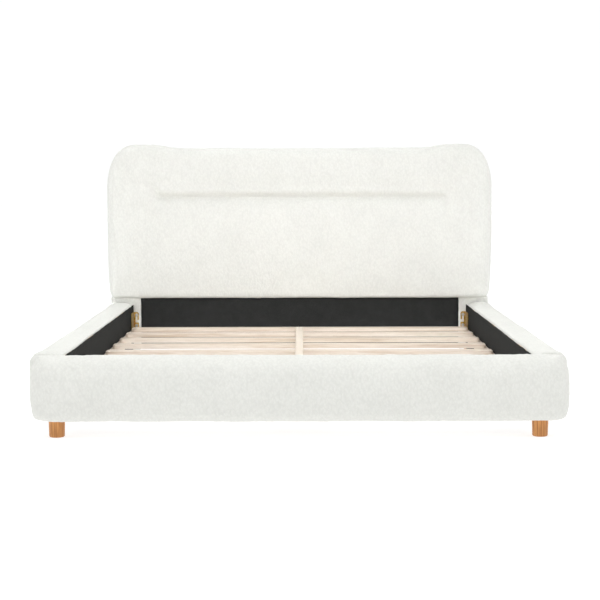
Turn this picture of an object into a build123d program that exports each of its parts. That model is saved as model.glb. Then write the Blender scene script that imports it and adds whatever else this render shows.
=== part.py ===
"""Upholstered headboard bed for a queen mattress, as separate pieces, in millimetres.

The bed stands on the floor at Z = 0 with +Z up.  +Y runs from the foot to the headboard and +X to the
right of a person who looks at the headboard.  The origin is on the floor, at the middle of the bed's
length and width.
"""

import os

from build123d import *

os.makedirs("parts", exist_ok=True)

# ---------------------------------------------------------------- driving dimensions
# mattress and the well that takes it
mattress_width = 1530
mattress_length = 2030
mattress_gap = 10          # all round
well_depth = 90            # slat tops to the top edge of the rails' boards

# heights above the floor
panel_clearance = 56       # floor to the underside of rails and footboard
rail_cover_height = 219    # underside to crown of the padded rails
board_top_drop = 13        # crown to the top edge of the timber boards
head_pad_bottom = 296
head_shoulder_top = 1009   # the two raised shoulders of the headboard
head_middle_drop = 17      # shoulders to the level middle of the top edge

# padded rails
rail_pad_thickness = 119   # lining face to the outside of the bulge
foot_pad_thickness = 102
rail_board_thickness = 24
lining_thickness = 1
crown_outer_radius = 42
crown_inner_radius = 9
underside_radius = 28
foot_corner_radius = 95
board_bottom_lift = 5      # fabric and foam under the boards
base_strip_thickness = 18
base_strip_width = 50
base_strip_inset = 65      # from the side of the bed

# headboard
head_overhang = 30         # the pad stands this far in front of the posts
head_side_margin = 5       # the pad is wider than the rails by this, each side
head_bottom_taper = 17     # and narrows by this toward its lower corners
head_corner_radius = 150
head_front_radius = 38
head_back_radius = 12
shoulder_peak_inset = 185  # from the side to the shoulder's highest line
shoulder_foot_inset = 330  # and to where the level middle begins
face_panel_thickness = 9
post_cover_front = 15      # foam and fabric in front of the posts
frame_depth = 50
frame_side_wall = 32       # pad thickness beside the frame
frame_top_wall = 55        # pad thickness above the frame
frame_corner_radius = 118
frame_rail_height = 58
middle_rail_height = 771   # centre of the rail behind the crease
post_width = 123
post_cover_overlap = 3     # the cover reaches past the post's inner side
post_cover_side = 12
back_flange = 14           # fabric and padding on the back of the frame
back_flange_width = 62
pad_seat_wall = 8          # padding under the headboard's bottom rail
lower_board_thickness = 18

# slats and what carries them
slat_count = 9
slat_width = 70
slat_thickness = 16
first_slat_gap = 112       # headboard posts to the first slat
last_slat_gap = 30         # last slat to the footboard
slat_end_radius = 12
slat_edge_radius = 3
strap_width = 32           # woven ribbon let in flush along the slats' middles
strap_thickness = 1
ledger_width = 30
ledger_height = 30
ledger_end_gap = 4
beam_width = 30
beam_height = 80
socket_wall = 2.5
socket_length = 40
centre_leg_count = 3
centre_leg_radius = 22
glide_radius = 18
glide_thickness = 8
glide_gap = 4              # thread showing between glide and leg
glide_stem_radius = 4
glide_stem_top = 40
glide_fit = 0.08           # radial clearance of the stem in its insert
glide_bore_depth = 34      # drilled in the leg, from its lower end
insert_radius = 6
insert_length = 15
leg_bolt_radius = 3
leg_bolt_in_leg = 18
leg_bolt_in_beam = 30

# round timber feet
foot_top_radius = 27.5
foot_bottom_radius = 25.5
foot_edge_radius = 4.5
foot_side_inset = 95       # from the side of the bed
foot_panel_gap = 6         # footboard panel to the axis of the front feet
hanger_radius = 4
hanger_in_foot = 34
hanger_in_frame = 34

# rail hardware
plate = 2.5
bracket_height = 110
bracket_top_drop = 30      # board top to bracket top
bracket_rail_flange = 100
bracket_post_flange = 25
hook_count = 2
hook_pitch = 49
hook_drop = 14             # bracket top to the first shoulder bolt
hook_slot = 9
hook_prong = 23            # bolt to the tip of the prong beside it
hook_mouth = 12            # prong tip to the next hook
hook_tip_radius = 4
bolt_shank_radius = 4
bolt_head_radius = 7.5
bolt_head_height = 4
bolt_length = 44
angle_leg = 50
angle_height = 62
angle_lift = 12            # slat top to the angle's lower edge

# wood screws
screw_radius = 2
screw_head_radius = 4
screw_head_height = 2.4
slat_screw_length = 38
ledger_screw_length = 48
plate_screw_length = 20
ledger_screw_count = 8

# ---------------------------------------------------------------- derived levels and planes
inner_half_width = mattress_width / 2 + mattress_gap
inner_length = mattress_length + 2 * mattress_gap
half_width = inner_half_width + rail_pad_thickness
crown_top = panel_clearance + rail_cover_height
board_top = crown_top - board_top_drop
board_bottom = panel_clearance + board_bottom_lift
slat_top = board_top - well_depth
slat_bottom = slat_top - slat_thickness
strap_bottom = slat_top - strap_thickness
ledger_bottom = slat_bottom - ledger_height
beam_bottom = slat_bottom - beam_height
leg_bottom = glide_thickness + glide_gap

head_depth_behind = post_cover_front + frame_depth + back_flange + lining_thickness
total_length = foot_pad_thickness + inner_length + head_depth_behind
foot_front = -total_length / 2
foot_face = foot_front + foot_pad_thickness
head_face = foot_face + inner_length
frame_front = head_face + post_cover_front
frame_back = frame_front + frame_depth
pad_back = frame_back + back_flange

head_half_width = half_width + head_side_margin
frame_half_width = head_half_width - frame_side_wall
frame_top = head_shoulder_top - frame_top_wall
post_inner = frame_half_width - post_width
cover_inner = post_inner - post_cover_overlap
cover_outer = frame_half_width + post_cover_side
head_middle_top = head_shoulder_top - head_middle_drop
head_pad_floor = head_pad_bottom + pad_seat_wall

slat_half_length = mattress_width / 2
slat_run = inner_length - first_slat_gap - last_slat_gap - slat_width
slat_pitch = slat_run / (slat_count - 1)
slat_ys = [head_face - first_slat_gap - slat_width / 2 - n * slat_pitch for n in range(slat_count)]
leg_ys = [foot_face + inner_length * (n + 1) / (centre_leg_count + 1) for n in range(centre_leg_count)]
bracket_top = board_top - bracket_top_drop
angle_bottom = slat_top + angle_lift
foot_x = half_width - foot_side_inset
front_foot_y = foot_face - lining_thickness - rail_board_thickness - foot_panel_gap
head_foot_y = frame_front + frame_depth / 2
sides = (("left", -1), ("right", 1))


def save(part, name):
    """Name a finished piece and write it."""
    part.label = name
    export_step(part, f"parts/{name}.step")


def span(low, high):
    """Middle and length of a stretch."""
    return (low + high) / 2, abs(high - low)


def block(x, y, z, mode=Mode.ADD):
    """Box from three (low, high) pairs, inside the current part."""
    (cx, dx), (cy, dy), (cz, dz) = span(*x), span(*y), span(*z)
    with Locations((cx, cy, cz)):
        Box(dx, dy, dz, mode=mode)


def upright(y):
    """Plane that faces the foot: its X is the bed's X, its Y is the bed's Z."""
    return Plane.XZ.offset(-y)


def turned(x, y, z, direction):
    """Plane at a point, with its normal along a direction."""
    return Plane(origin=(x, y, z), z_dir=direction)


def wood_screw(length, radius=screw_radius):
    """Countersunk screw that points down, its head flush with Z = 0."""
    with BuildPart() as screw:
        with BuildSketch(Plane.XZ):
            with BuildLine():
                Polyline(
                    (0, 0), (screw_head_radius, 0), (radius, -screw_head_height),
                    (radius, 4 - length), (0, -length), (0, 0),
                )
            make_face()
        revolve(axis=Axis.Z)
    return screw.part


def screws_at(places, length):
    """Solids of one kind of screw, at planes whose normal points out of the head."""
    screw = wood_screw(length)
    return [plane.location * screw for plane in places]


# ---------------------------------------------------------------- fastener places
slat_screw_xs = (-(inner_half_width + slat_half_length - ledger_width) / 2, 0,
                 (inner_half_width + slat_half_length - ledger_width) / 2)
slat_screws = screws_at([turned(x, y, slat_top if x else strap_bottom, (0, 0, 1))
                         for x in slat_screw_xs for y in slat_ys],
                        slat_screw_length)

ledger_start = foot_face + ledger_end_gap
ledger_end = head_face - bracket_rail_flange - ledger_end_gap
ledger_step = (ledger_end - ledger_start) / ledger_screw_count
ledger_z = slat_bottom - ledger_height / 2
ledger_ys = [ledger_start + ledger_step * (n + 0.5) for n in range(ledger_screw_count)]


def clear_of_slats(y):
    """Move a ledger screw to the middle of the gap when a slat screw stands above it."""
    near = [s for s in slat_ys if abs(s - y) < slat_width / 2]
    return near[0] - slat_pitch / 2 if near else y


ledger_screws = {}
for side, sign in sides:
    head_x = sign * (inner_half_width - ledger_width)
    ledger_screws[side] = screws_at(
        [turned(head_x, clear_of_slats(y), ledger_z, (-sign, 0, 0)) for y in ledger_ys],
        ledger_screw_length)

plate_screws = {}
for side, sign in sides:
    plate_x = sign * (inner_half_width - plate)
    spots = [(head_face - bracket_rail_flange * f, bracket_top - bracket_height * g)
             for f in (0.4, 0.8) for g in (0.15, 0.85)]
    spots += [(foot_face + angle_leg * 0.7, angle_bottom + angle_height * g) for g in (0.25, 0.75)]
    plate_screws[side] = screws_at([turned(plate_x, y, z, (-sign, 0, 0)) for y, z in spots],
                                   plate_screw_length)


def machine_bolt(shank_length):
    """Domed bolt with a hexagon socket, its head standing on Z = 0 and its shank below."""
    with BuildPart() as bolt:
        Cylinder(bolt_head_radius, bolt_head_height, align=(Align.CENTER, Align.CENTER, Align.MIN))
        fillet(bolt.edges().sort_by(Axis.Z)[-1], 1.5)
        with BuildSketch(Plane.XY.offset(bolt_head_height)):
            RegularPolygon(2.9, 6)
        extrude(amount=-2.5, mode=Mode.SUBTRACT)
        Cylinder(bolt_shank_radius, shank_length, align=(Align.CENTER, Align.CENTER, Align.MAX))
    return bolt.part


# shoulder bolts in the posts, and the slots that hang on them
hook_x = inner_half_width - bracket_post_flange * 0.55
hook_zs = [bracket_top - hook_drop - n * hook_pitch for n in range(hook_count)]
shoulder_bolt = machine_bolt(bolt_length)
shoulder_bolts = {
    side: [turned(sign * hook_x, head_face - plate, z, (0, -1, 0)).location * shoulder_bolt
           for z in hook_zs]
    for side, sign in sides}
angle_bolt = machine_bolt(rail_board_thickness)
angle_bolts = {
    side: [turned(sign * (inner_half_width - angle_leg * 0.6), foot_face + plate,
                  angle_bottom + angle_height * g, (0, 1, 0)).location * angle_bolt
           for g in (0.25, 0.75)]
    for side, sign in sides}

# hanger bolts that join the round feet to the frame above them
feet_at = {
    "front_left": (-foot_x, front_foot_y), "front_right": (foot_x, front_foot_y),
    "head_left": (-foot_x, head_foot_y), "head_right": (foot_x, head_foot_y)}
hanger_bolts = {}
for corner, (x, y) in feet_at.items():
    with BuildPart() as hanger:
        block_top = board_bottom + (hanger_in_frame if corner.startswith("head") else base_strip_thickness)
        with BuildSketch(Plane((x, y, panel_clearance - hanger_in_foot))):
            Circle(hanger_radius)
        extrude(amount=block_top - panel_clearance + hanger_in_foot)
    hanger_bolts[corner] = hanger.part


# ---------------------------------------------------------------- headboard
def head_outline():
    """Closed outline of the headboard pad on an upright plane: level middle, raised round shoulders."""
    peak = head_half_width - shoulder_peak_inset
    level = head_half_width - shoulder_foot_inset
    side_top = head_shoulder_top - head_corner_radius
    side_low = (side_top + head_pad_bottom) / 2
    foot = head_half_width - head_bottom_taper
    for sign in (-1, 1):
        Line((0, head_middle_top), (sign * level, head_middle_top))
        Spline((sign * level, head_middle_top), (sign * peak, head_shoulder_top),
               tangents=[(sign, 0), (sign, 0)])
        Line((sign * peak, head_shoulder_top),
             (sign * (head_half_width - head_corner_radius), head_shoulder_top))
        JernArc((sign * (head_half_width - head_corner_radius), head_shoulder_top), (sign, 0),
                head_corner_radius, -90 * sign)
        Line((sign * head_half_width, side_top), (sign * head_half_width, side_low))
        Spline((sign * head_half_width, side_low), (sign * foot, head_pad_bottom),
               tangents=[(0, -1), (-sign * 0.12, -1)])
        Line((sign * foot, head_pad_bottom), (0, head_pad_bottom))


def frame_outline(low, half, top):
    """Rectangle with round top corners, on an upright plane."""
    with Locations((0, (low + top) / 2)):
        Rectangle(2 * half, top - low)
    fillet(vertices().group_by(Axis.Y)[-1], frame_corner_radius)


def headboard_pad():
    """Foam and fabric, hollow where the frame sits and open at the back."""
    with BuildPart() as pad:
        with BuildSketch(upright(pad_back)):
            with BuildLine():
                head_outline()
            make_face()
        extrude(amount=pad_back - head_face + head_overhang)
        front = pad.faces().sort_by(Axis.Y)[0]
        fillet(front.edges(), head_front_radius)
        back = pad.faces().sort_by(Axis.Y)[-1]
        chamfer(back.edges(), head_back_radius)
        with BuildSketch(upright(frame_back)):
            frame_outline(head_pad_floor, frame_half_width, frame_top)
        extrude(amount=frame_back - frame_front + face_panel_thickness, mode=Mode.SUBTRACT)
        with BuildSketch(upright(pad_back)):
            opening_low = head_pad_floor + back_flange_width
            opening_top = frame_top - back_flange_width
            with Locations((0, (opening_low + opening_top) / 2)):
                Rectangle(2 * (frame_half_width - back_flange_width), opening_top - opening_low)
            fillet(vertices(), frame_corner_radius - back_flange_width)
        extrude(amount=back_flange, mode=Mode.SUBTRACT)
        for _, sign in sides:
            block((sign * post_inner, sign * frame_half_width), (frame_front, frame_back),
                  (head_pad_bottom - 1, head_pad_floor + 1), mode=Mode.SUBTRACT)
    save(pad.part, "headboard_pad")


def headboard_frame():
    """Timber of the headboard: face panel, two posts to the feet, three rails."""
    with BuildPart() as panel:
        with BuildSketch(upright(frame_front)):
            frame_outline(head_pad_floor, frame_half_width, frame_top)
        extrude(amount=face_panel_thickness)
    save(panel.part, "headboard_face_panel")

    for side, sign in sides:
        with BuildPart() as post:
            with BuildSketch(upright(frame_back)):
                with Locations((sign * (post_inner + frame_half_width) / 2, (board_bottom + frame_top) / 2)):
                    Rectangle(post_width, frame_top - board_bottom)
                outer = vertices().group_by(Axis.Y)[-1].sort_by(Axis.X)[0 if sign < 0 else -1]
                fillet(outer, frame_corner_radius)
            extrude(amount=frame_depth)
            add(hanger_bolts[f"head_{side}"], mode=Mode.SUBTRACT)
            add(shoulder_bolts[side], mode=Mode.SUBTRACT)
        save(post.part, f"headboard_post_{side}")

    rails = {
        "headboard_top_rail": frame_top - frame_rail_height,
        "headboard_middle_rail": middle_rail_height - frame_rail_height / 2,
        "headboard_bottom_rail": head_pad_floor,
    }
    for name, low in rails.items():
        with BuildPart() as rail:
            block((-post_inner, post_inner), (frame_front, frame_back), (low, low + frame_rail_height))
        save(rail.part, name)


def headboard_back_cover():
    """Dust cloth over the open back, stapled on the turned-in fabric."""
    reach = back_flange_width / 2
    with BuildPart() as cover:
        with BuildSketch(upright(pad_back + lining_thickness)):
            with Locations((0, (head_pad_floor + frame_top) / 2)):
                Rectangle(2 * (frame_half_width - reach), frame_top - head_pad_floor - 2 * reach)
            fillet(vertices(), frame_corner_radius - reach)
        extrude(amount=lining_thickness)
    save(cover.part, "headboard_back_cover")


def headboard_lower_section():
    """Lined board between the posts, and the fabric covers of the posts below the pad."""
    lining_y = (frame_front, frame_front + lining_thickness)
    board_y = (lining_y[1], lining_y[1] + lower_board_thickness)
    with BuildPart() as board:
        block((-post_inner, post_inner), board_y, (board_bottom, head_pad_bottom - 0.5))
    save(board.part, "headboard_lower_board")
    with BuildPart() as lining:
        block((-post_inner, post_inner), lining_y, (board_bottom, head_pad_bottom - 0.5))
    save(lining.part, "headboard_lower_lining")

    for side, sign in sides:
        with BuildPart() as cover:
            block((sign * cover_inner, sign * cover_outer), (head_face, pad_back),
                  (panel_clearance, head_pad_bottom - 0.5))
            outer = cover.edges().filter_by(Axis.Z).sort_by(Axis.X)
            fillet(outer[:2] if sign < 0 else outer[-2:], post_cover_side)
            block((sign * post_inner, sign * frame_half_width), (frame_front, frame_back),
                  (board_bottom, head_pad_bottom), mode=Mode.SUBTRACT)
            block((sign * (cover_inner - 1), sign * post_inner), (frame_front, pad_back + 1),
                  (panel_clearance - 1, head_pad_bottom), mode=Mode.SUBTRACT)
            add(hanger_bolts[f"head_{side}"], mode=Mode.SUBTRACT)
            add(shoulder_bolts[side], mode=Mode.SUBTRACT)
        save(cover.part, f"post_cover_{side}")


# ---------------------------------------------------------------- side rails
def side_rails():
    """Each rail is a board with a padded cover outside and over its top, and a lining inside."""
    for side, sign in sides:
        inner = sign * (inner_half_width + lining_thickness)
        board_x = (inner, inner + sign * rail_board_thickness)
        outer = sign * half_width
        with BuildPart() as board:
            block(board_x, (foot_face, head_face), (board_bottom, board_top))
            add(ledger_screws[side], mode=Mode.SUBTRACT)
            add(plate_screws[side], mode=Mode.SUBTRACT)
        save(board.part, f"side_rail_board_{side}")

        with BuildPart() as pad:
            with BuildSketch(upright(head_face)):
                with Locations(((inner + outer) / 2, (panel_clearance + crown_top) / 2)):
                    Rectangle(abs(outer - inner), rail_cover_height)
                top = vertices().group_by(Axis.Y)[-1].sort_by(Axis.X)
                bottom = vertices().group_by(Axis.Y)[0].sort_by(Axis.X)
                far, near = (0, -1) if sign < 0 else (-1, 0)
                fillet(top[far], crown_outer_radius)
                fillet(bottom[far], underside_radius)
                fillet(top[near], crown_inner_radius)
            extrude(amount=inner_length)
            block(board_x, (foot_face, head_face), (board_bottom, board_top), mode=Mode.SUBTRACT)
        save(pad.part, f"side_rail_pad_{side}")

        with BuildPart() as lining:
            block((sign * inner_half_width, inner), (foot_face, head_face), (board_bottom, board_top))
            add(ledger_screws[side], mode=Mode.SUBTRACT)
            add(plate_screws[side], mode=Mode.SUBTRACT)
        save(lining.part, f"side_rail_lining_{side}")

        with BuildPart() as ledger:
            block((sign * (inner_half_width - ledger_width), sign * inner_half_width),
                  (ledger_start, ledger_end), (ledger_bottom, slat_bottom))
            add(ledger_screws[side], mode=Mode.SUBTRACT)
            add(slat_screws, mode=Mode.SUBTRACT)
        save(ledger.part, f"slat_ledger_{side}")


# ---------------------------------------------------------------- footboard
def footboard():
    """Full-width board with a base strip for the feet, a padded cover and a lining."""
    panel_half = half_width - foot_side_inset / 2
    panel_y = (foot_face - lining_thickness - rail_board_thickness, foot_face - lining_thickness)
    strip_half = half_width - base_strip_inset
    strip_y = (panel_y[0] - base_strip_width, panel_y[0])
    strip_z = (board_bottom, board_bottom + base_strip_thickness)
    front_bolts = [hanger_bolts["front_left"], hanger_bolts["front_right"]]
    all_angle_bolts = angle_bolts["left"] + angle_bolts["right"]

    with BuildPart() as panel:
        block((-panel_half, panel_half), panel_y, (board_bottom, board_top))
        add(all_angle_bolts, mode=Mode.SUBTRACT)
    save(panel.part, "footboard_panel")

    with BuildPart() as strip:
        block((-strip_half, strip_half), strip_y, strip_z)
        add(front_bolts, mode=Mode.SUBTRACT)
    save(strip.part, "footboard_base_strip")

    with BuildPart() as pad:
        with BuildSketch(Plane.XY.offset(panel_clearance)):
            with Locations((0, (foot_front + foot_face) / 2)):
                Rectangle(2 * half_width, foot_pad_thickness)
            fillet(vertices().group_by(Axis.Y)[0], foot_corner_radius)
        extrude(amount=rail_cover_height)
        for face, radius in ((0, underside_radius), (-1, crown_outer_radius)):
            rim = pad.faces().sort_by(Axis.Z)[face].edges()
            fillet(rim.filter_by(lambda edge: edge.center().Y < foot_face - 1), radius)
        back_edge = pad.faces().sort_by(Axis.Z)[-1].edges().sort_by(Axis.Y)[-1]
        fillet(back_edge, crown_inner_radius)
        block((-panel_half, panel_half), panel_y, (board_bottom, board_top), mode=Mode.SUBTRACT)
        block((-inner_half_width, inner_half_width), (panel_y[1], foot_face), (board_bottom, board_top),
              mode=Mode.SUBTRACT)
        block((-strip_half, strip_half), strip_y, strip_z, mode=Mode.SUBTRACT)
        add(front_bolts, mode=Mode.SUBTRACT)
    save(pad.part, "footboard_pad")

    with BuildPart() as lining:
        block((-inner_half_width, inner_half_width), (panel_y[1], foot_face), (board_bottom, board_top))
        add(all_angle_bolts, mode=Mode.SUBTRACT)
    save(lining.part, "footboard_lining")


# ---------------------------------------------------------------- rail hardware
def rail_hardware():
    """Hook-on brackets at the headboard, plain angles at the footboard, and their fasteners."""
    for side, sign in sides:
        wall = sign * inner_half_width
        bracket_z = (bracket_top - bracket_height, bracket_top)
        with BuildPart() as bracket:
            block((wall, wall - sign * plate), (head_face - bracket_rail_flange, head_face), bracket_z)
            block((wall, wall - sign * bracket_post_flange), (head_face - plate, head_face), bracket_z)
            far = bracket.edges().filter_by(Axis.X).group_by(Axis.Y)[0]
            fillet(far, bracket_post_flange * 0.4)
            free_edge = wall - sign * bracket_post_flange
            slot_x = (sign * hook_x - hook_slot / 2, sign * hook_x + hook_slot / 2)
            flange_y = (head_face - plate, head_face)
            for z in hook_zs:
                tip = z - hook_prong
                block(slot_x, flange_y, (z, tip - hook_mouth), mode=Mode.SUBTRACT)
                block((sign * hook_x, free_edge - sign), flange_y, (tip, tip - hook_mouth),
                      mode=Mode.SUBTRACT)
                with Locations(turned(sign * hook_x, head_face - plate / 2, z, (0, -1, 0))):
                    Cylinder(hook_slot / 2, plate, mode=Mode.SUBTRACT)
            free_corners = bracket.edges().filter_by(Axis.Y).filter_by_position(
                Axis.X, *sorted((free_edge - sign, free_edge + sign))).sort_by(Axis.Z)
            fillet([free_corners[0], free_corners[-1]], bracket_post_flange * 0.4)
            fillet(free_corners[1:-1], hook_tip_radius)
            add(plate_screws[side], mode=Mode.SUBTRACT)
        save(bracket.part, f"hook_bracket_{side}")

        angle_z = (angle_bottom, angle_bottom + angle_height)
        with BuildPart() as angle:
            block((wall, wall - sign * plate), (foot_face, foot_face + angle_leg), angle_z)
            block((wall, wall - sign * angle_leg), (foot_face, foot_face + plate), angle_z)
            add(plate_screws[side], mode=Mode.SUBTRACT)
            add(angle_bolts[side], mode=Mode.SUBTRACT)
        save(angle.part, f"corner_angle_{side}")

    groups = {
        "shoulder_bolts": shoulder_bolts["left"] + shoulder_bolts["right"],
        "corner_angle_bolts": angle_bolts["left"] + angle_bolts["right"],
        "bracket_screws": plate_screws["left"] + plate_screws["right"],
        "ledger_screws": ledger_screws["left"] + ledger_screws["right"],
        "slat_screws": slat_screws,
        "foot_hanger_bolts": list(hanger_bolts.values()),
    }
    for name, solids in groups.items():
        with BuildPart() as group:
            add(solids)
        save(group.part, name)


# ---------------------------------------------------------------- slats, beam and its legs
def slats():
    """Full-width slats on both ledgers and the beam, and a ribbon let into their middles."""
    for n, y in enumerate(slat_ys, start=1):
        with BuildPart() as slat:
            with BuildSketch(Plane.XY.offset(slat_bottom)):
                with Locations((0, y)):
                    RectangleRounded(2 * slat_half_length, slat_width, slat_end_radius)
            extrude(amount=slat_thickness)
            fillet(slat.faces().sort_by(Axis.Z)[-1].edges(), slat_edge_radius)
            fillet(slat.faces().sort_by(Axis.Z)[0].edges(), slat_edge_radius)
            block((-strap_width / 2, strap_width / 2), (y - slat_width, y + slat_width),
                  (strap_bottom, slat_top + 1), mode=Mode.SUBTRACT)
            add(slat_screws[n - 1::slat_count], mode=Mode.SUBTRACT)
        save(slat.part, f"slat_{n}")

    with BuildPart() as strap:
        block((-strap_width / 2, strap_width / 2),
              (slat_ys[-1] - slat_width / 2, slat_ys[0] + slat_width / 2),
              (strap_bottom, slat_top))
    save(strap.part, "slat_strap")


def centre_support():
    """Beam under the slats in two steel sockets, on short legs with screw-in levelling glides."""
    half = beam_width / 2
    head_wall = frame_front
    leg_bolts = []
    for y in leg_ys:
        with BuildPart() as bolt:
            with BuildSketch(Plane((0, y, beam_bottom - leg_bolt_in_leg))):
                Circle(leg_bolt_radius)
            extrude(amount=leg_bolt_in_leg + leg_bolt_in_beam)
        leg_bolts.append(bolt.part)

    with BuildPart() as beam:
        block((-half, half), (foot_face + socket_wall, head_wall - socket_wall), (beam_bottom, slat_bottom))
        add(slat_screws, mode=Mode.SUBTRACT)
        add(leg_bolts, mode=Mode.SUBTRACT)
    save(beam.part, "centre_beam")

    ends = {"head": (head_wall, -1), "foot": (foot_face, 1)}
    for end, (wall, inward) in ends.items():
        reach = wall + inward * socket_length
        outside = half + socket_wall
        with BuildPart() as socket:
            block((-outside, outside), (wall, reach), (beam_bottom - socket_wall, slat_bottom - plate))
            block((-half, half), (wall + inward * socket_wall, reach + inward),
                  (beam_bottom, slat_bottom), mode=Mode.SUBTRACT)
        save(socket.part, f"beam_socket_{end}")

    with BuildPart() as bolts:
        add(leg_bolts)
    save(bolts.part, "centre_leg_bolts")

    with BuildPart() as inserts:
        for y in leg_ys:
            with BuildSketch(Plane((0, y, leg_bottom))):
                Circle(insert_radius)
                Circle(glide_stem_radius + glide_fit, mode=Mode.SUBTRACT)
            extrude(amount=insert_length)
    save(inserts.part, "glide_inserts")

    for n, y in enumerate(leg_ys, start=1):
        with BuildPart() as leg:
            with BuildSketch(Plane((0, y, leg_bottom))):
                Circle(centre_leg_radius)
            extrude(amount=beam_bottom - leg_bottom)
            fillet(leg.faces().sort_by(Axis.Z)[0].edges(), 2)
            with BuildSketch(Plane((0, y, leg_bottom))):
                Circle(insert_radius)
            extrude(amount=insert_length, mode=Mode.SUBTRACT)
            with BuildSketch(Plane((0, y, leg_bottom))):
                Circle(glide_stem_radius + 0.5)
            extrude(amount=glide_bore_depth, mode=Mode.SUBTRACT)
            add(leg_bolts[n - 1], mode=Mode.SUBTRACT)
        save(leg.part, f"centre_leg_{n}")

        with BuildPart() as glide:
            with BuildSketch(Plane((0, y, 0))):
                Circle(glide_radius)
            extrude(amount=glide_thickness)
            fillet(glide.faces().sort_by(Axis.Z)[-1].edges(), 2)
            with BuildSketch(Plane((0, y, 0))):
                Circle(glide_stem_radius)
            extrude(amount=glide_stem_top)
        save(glide.part, f"leg_glide_{n}")


# ---------------------------------------------------------------- round timber feet
def feet():
    """Four turned feet, a little narrower at the floor, with a softened lower edge."""
    for corner, (x, y) in feet_at.items():
        with BuildPart() as foot:
            with BuildSketch(Plane((x, y, panel_clearance))):
                Circle(foot_top_radius)
            with BuildSketch(Plane((x, y, 0))):
                Circle(foot_bottom_radius)
            loft()
            fillet(foot.faces().sort_by(Axis.Z)[0].edges(), foot_edge_radius)
            add(hanger_bolts[corner], mode=Mode.SUBTRACT)
        save(foot.part, f"foot_{corner}")


headboard_pad()
headboard_frame()
headboard_back_cover()
headboard_lower_section()
side_rails()
footboard()
rail_hardware()
slats()
centre_support()
feet()
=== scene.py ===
"""Looks of an upholstered headboard bed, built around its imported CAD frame.

Everything is in metres in the CAD frame: +Z up, +Y toward the headboard, the floor at Z = 0.
"""

import math

import bmesh
import bpy
import numpy as np
from mathutils import Matrix, Vector


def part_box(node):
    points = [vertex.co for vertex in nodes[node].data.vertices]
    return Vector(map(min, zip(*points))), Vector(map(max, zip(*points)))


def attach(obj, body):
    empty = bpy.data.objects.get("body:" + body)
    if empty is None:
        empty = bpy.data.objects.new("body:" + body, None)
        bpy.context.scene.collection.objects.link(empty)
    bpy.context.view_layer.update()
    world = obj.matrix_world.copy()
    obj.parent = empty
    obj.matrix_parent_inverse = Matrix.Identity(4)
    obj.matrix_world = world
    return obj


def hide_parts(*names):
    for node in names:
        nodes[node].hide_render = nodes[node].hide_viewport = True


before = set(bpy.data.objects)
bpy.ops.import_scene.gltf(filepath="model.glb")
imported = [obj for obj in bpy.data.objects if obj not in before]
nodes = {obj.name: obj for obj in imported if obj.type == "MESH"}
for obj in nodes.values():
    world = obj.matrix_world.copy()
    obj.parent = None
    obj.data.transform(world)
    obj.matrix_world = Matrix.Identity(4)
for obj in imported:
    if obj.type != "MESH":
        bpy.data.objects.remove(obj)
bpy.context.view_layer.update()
scene = bpy.context.scene

# ---------------------------------------------------------------- sizes taken from the frame
(_, pad_f, pad_d), (pad_r, pad_b, pad_t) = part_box("headboard_pad")
rail_box = {side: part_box(f"side_rail_pad_{side}") for side in ("left", "right")}
foot_low, foot_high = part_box("footboard_pad")
lining_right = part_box("side_rail_lining_right")
cover_box = {side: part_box(f"post_cover_{side}") for side in ("left", "right")}

CROWN = foot_high.z                     # top of the padded rails
UNDERSIDE = foot_low.z
WELL_X = lining_right[0].x              # half the width between the side linings
FOOT_FACE = foot_high.y                 # inner face of the footboard
FOOT_FRONT = foot_low.y
POST_FACE = rail_box["right"][1].y      # the headboard posts' face, where the rails end

# ---------------------------------------------------------------- shape of the headboard
HEAD_HALF = pad_r + 0.001                # the cloth draws in by a few millimetres
HEAD_TOP = pad_t + 0.004
SHOULDER_WIDE, SHOULDER_TALL = 0.140, 0.240   # the round shoulders, fuller than an ellipse
SHOULDER_POWER = 2.4
HEAD_DROP = 0.018                       # shoulders to the level middle
PEAK_X, LEVEL_X = 0.690, 0.560          # the top edge falls from the shoulder to level between these
TAPER, TAPER_FROM = 0.018, 0.62         # the sides draw in below this height
LOW_CORNER = 0.030
FRONT_ROUND, BACK_ROUND = 0.050, 0.014
FRONT_BACK_OFF = 0.006                  # the front starts this far in, as cloth and crown bring it out
CREASE_Z, CREASE_DEPTH = 0.7685, 0.0290
CREASE_LEFT, CREASE_RIGHT = -0.668, 0.690
CREASE_ABOVE, CREASE_BELOW = 0.0105, 0.024    # how fast the tuck fades above and below its line
LIP_RISE, LIP_AT, LIP_WIDTH = 0.0045, 0.024, 0.015    # the swelling above the tuck
TUCK_CLEARANCE = 0.0015                 # the tuck stops short of the face panel

# ---------------------------------------------------------------- rails, footboard, timber pockets
FOOT_CORNER = 0.095                     # radius of the footboard's front corners
POCKET_ROOM = 0.0004                    # round the timber in the covers
LINING_GAP = 0.0006                     # from the lining to the fleece
LINING_RISE = 0.0035                    # the fleece is cut back to just above the board
POCKET_IN = 0.70                        # the rails' cutters start this far from the middle
PANEL_CORNER = 0.118
FLANGE, FLANGE_CORNER = 0.062, 0.056    # the back opening inside the face panel's edge

# ---------------------------------------------------------------- mesh resolution and cloth
PAD_VOXEL = 0.0118
RAIL_VOXEL = 0.0100
POST_VOXEL = 0.0050
CLOTH_FRAMES = 20
PRESSURE = 4.0
SWELL_CAP = 0.006
EDGE_HELD = 0.012                       # the cover is held this far in from the timber


# ================================================================ numbers
def smoothstep(low, high, value):
    """0 below low and 1 above high, or the other way round when low is the larger."""
    t = np.clip((np.asarray(value, float) - low) / (high - low), 0, 1)
    return t * t * (3 - 2 * t)


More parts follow.
